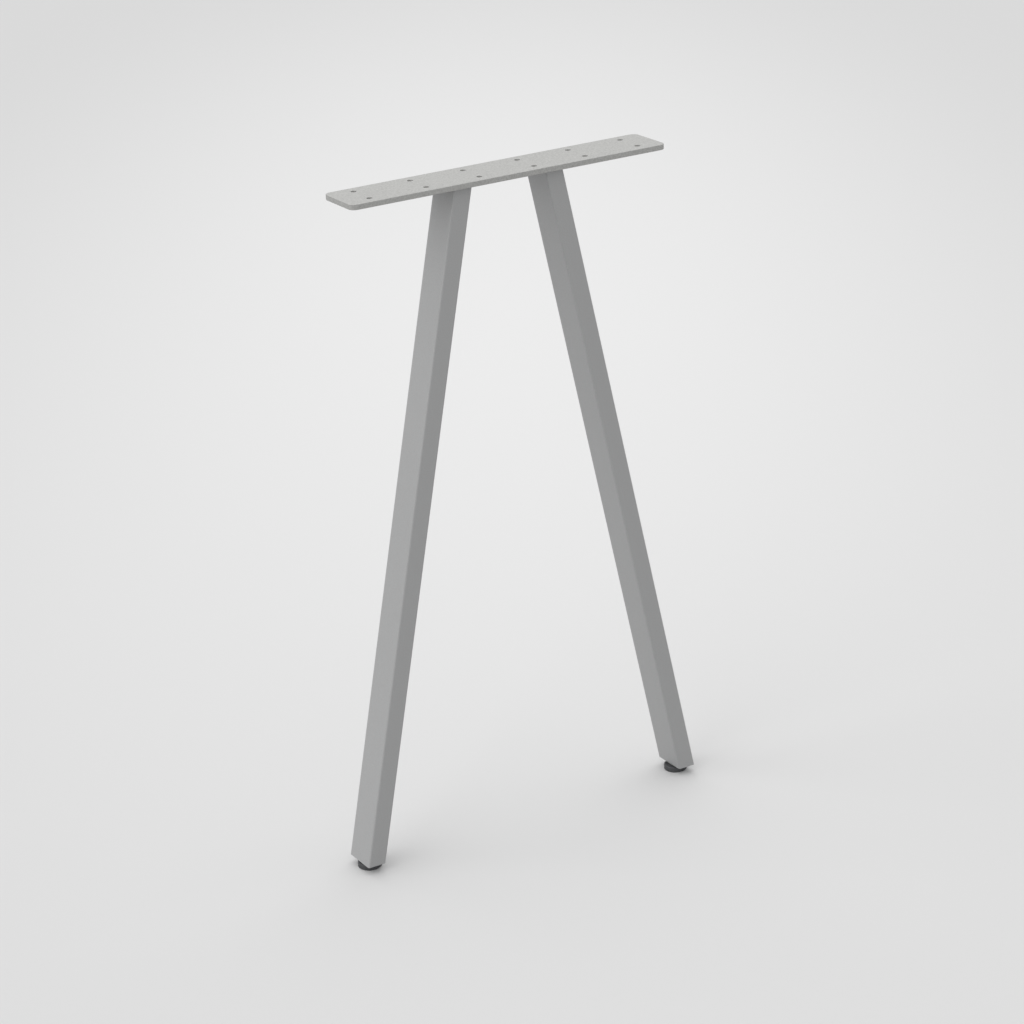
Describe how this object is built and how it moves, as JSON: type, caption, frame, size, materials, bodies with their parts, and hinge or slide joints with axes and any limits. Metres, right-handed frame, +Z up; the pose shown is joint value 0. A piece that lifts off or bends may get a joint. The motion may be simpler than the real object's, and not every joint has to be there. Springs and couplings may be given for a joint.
{
  "type": "metal table leg",
  "caption": "A-shaped metal table leg: drilled top plate, splayed rectangular tubes and screw-in levelling feet.",
  "frame": {"origin": "on the floor, midway between the two feet", "axes": "+X along the mounting plate, towards the right foot; +Y across the plate; +Z up, out of the plate's top face"},
  "size_m": [0.409, 0.057, 0.71],
  "materials": {
    "powder_coat": "silver-grey satin powder coat with a fine grain",
    "plated_steel": "bright zinc plating",
    "black_plastic": "moulded, matt"
  },
  "bodies": {
    "leg_frame": {"mounting_plate": "powder_coat", "leg_tube_left": "powder_coat", "leg_tube_right": "powder_coat", "weld_bead_left": "powder_coat", "weld_bead_right": "powder_coat", "end_plate_left": "powder_coat", "end_plate_right": "powder_coat", "weld_nut_left": "plated_steel", "weld_nut_right": "plated_steel"},
    "left_base": {"foot_base_left": "black_plastic"},
    "left_stud": {"foot_stud_left": "plated_steel"},
    "right_base": {"foot_base_right": "black_plastic"},
    "right_stud": {"foot_stud_right": "plated_steel"}
  },
  "joints": [
    {"name": "left_foot_height", "type": "slide", "parent": "leg_frame", "child": "left_base", "axis": [0, 0, -1], "range_m": [0, 0.01]},
    {"name": "left_stud_turn", "type": "hinge", "parent": "left_base", "child": "left_stud", "pos_m": [-0.19196, 0, 0.006], "axis": [0, 0, -1], "range_deg": [0, 2880]},
    {"name": "right_foot_height", "type": "slide", "parent": "leg_frame", "child": "right_base", "axis": [0, 0, -1], "range_m": [0, 0.01]},
    {"name": "right_stud_turn", "type": "hinge", "parent": "right_base", "child": "right_stud", "pos_m": [0.19196, 0, 0.006], "axis": [0, 0, -1], "range_deg": [0, 2880]}
  ],
  "couplings": [
    {"joint": "left_foot_height", "follows": "left_stud_turn", "m_per_rad": 0.00019894},
    {"joint": "right_foot_height", "follows": "right_stud_turn", "m_per_rad": 0.00019894}
  ]
}
